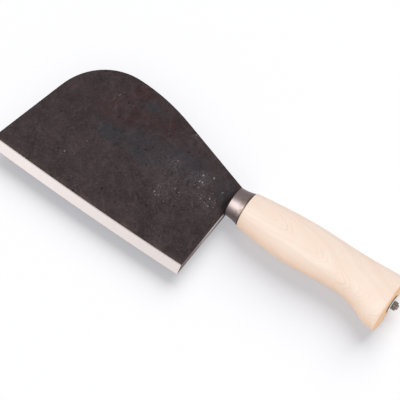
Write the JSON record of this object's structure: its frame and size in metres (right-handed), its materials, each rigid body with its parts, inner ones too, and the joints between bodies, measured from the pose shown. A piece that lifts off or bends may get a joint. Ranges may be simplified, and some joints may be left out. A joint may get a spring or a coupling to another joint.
{
  "type": "billhook",
  "caption": "Hand billhook with a broad straight-edged blade, a round hump on the back, a single ground bevel, a conical ferrule and a wooden grip held by a through tang.",
  "frame": {"origin": "on the handle's axis, in the mouth of the ferrule where the blade's shoulder seats, at the middle of the blade's thickness", "axes": "+X along the handle towards the butt, +Y towards the blade's back, +Z out of the bevelled face; the flat side faces -Z"},
  "size_m": [0.3435, 0.1129, 0.0314],
  "materials": {
    "blade_steel": "dark forge scale on the faces, bright ground bevel",
    "ferrule_steel": "drawn steel, satin",
    "handle_wood": "pale sanded hardwood under clear wax",
    "washer_steel": "bright zinc plating",
    "nut_steel": "dark oiled steel"
  },
  "bodies": {
    "root": {"blade": "blade_steel", "ferrule": "ferrule_steel", "handle": "handle_wood", "washer": "washer_steel", "tang_nut": "nut_steel"}
  },
  "joints": []
}
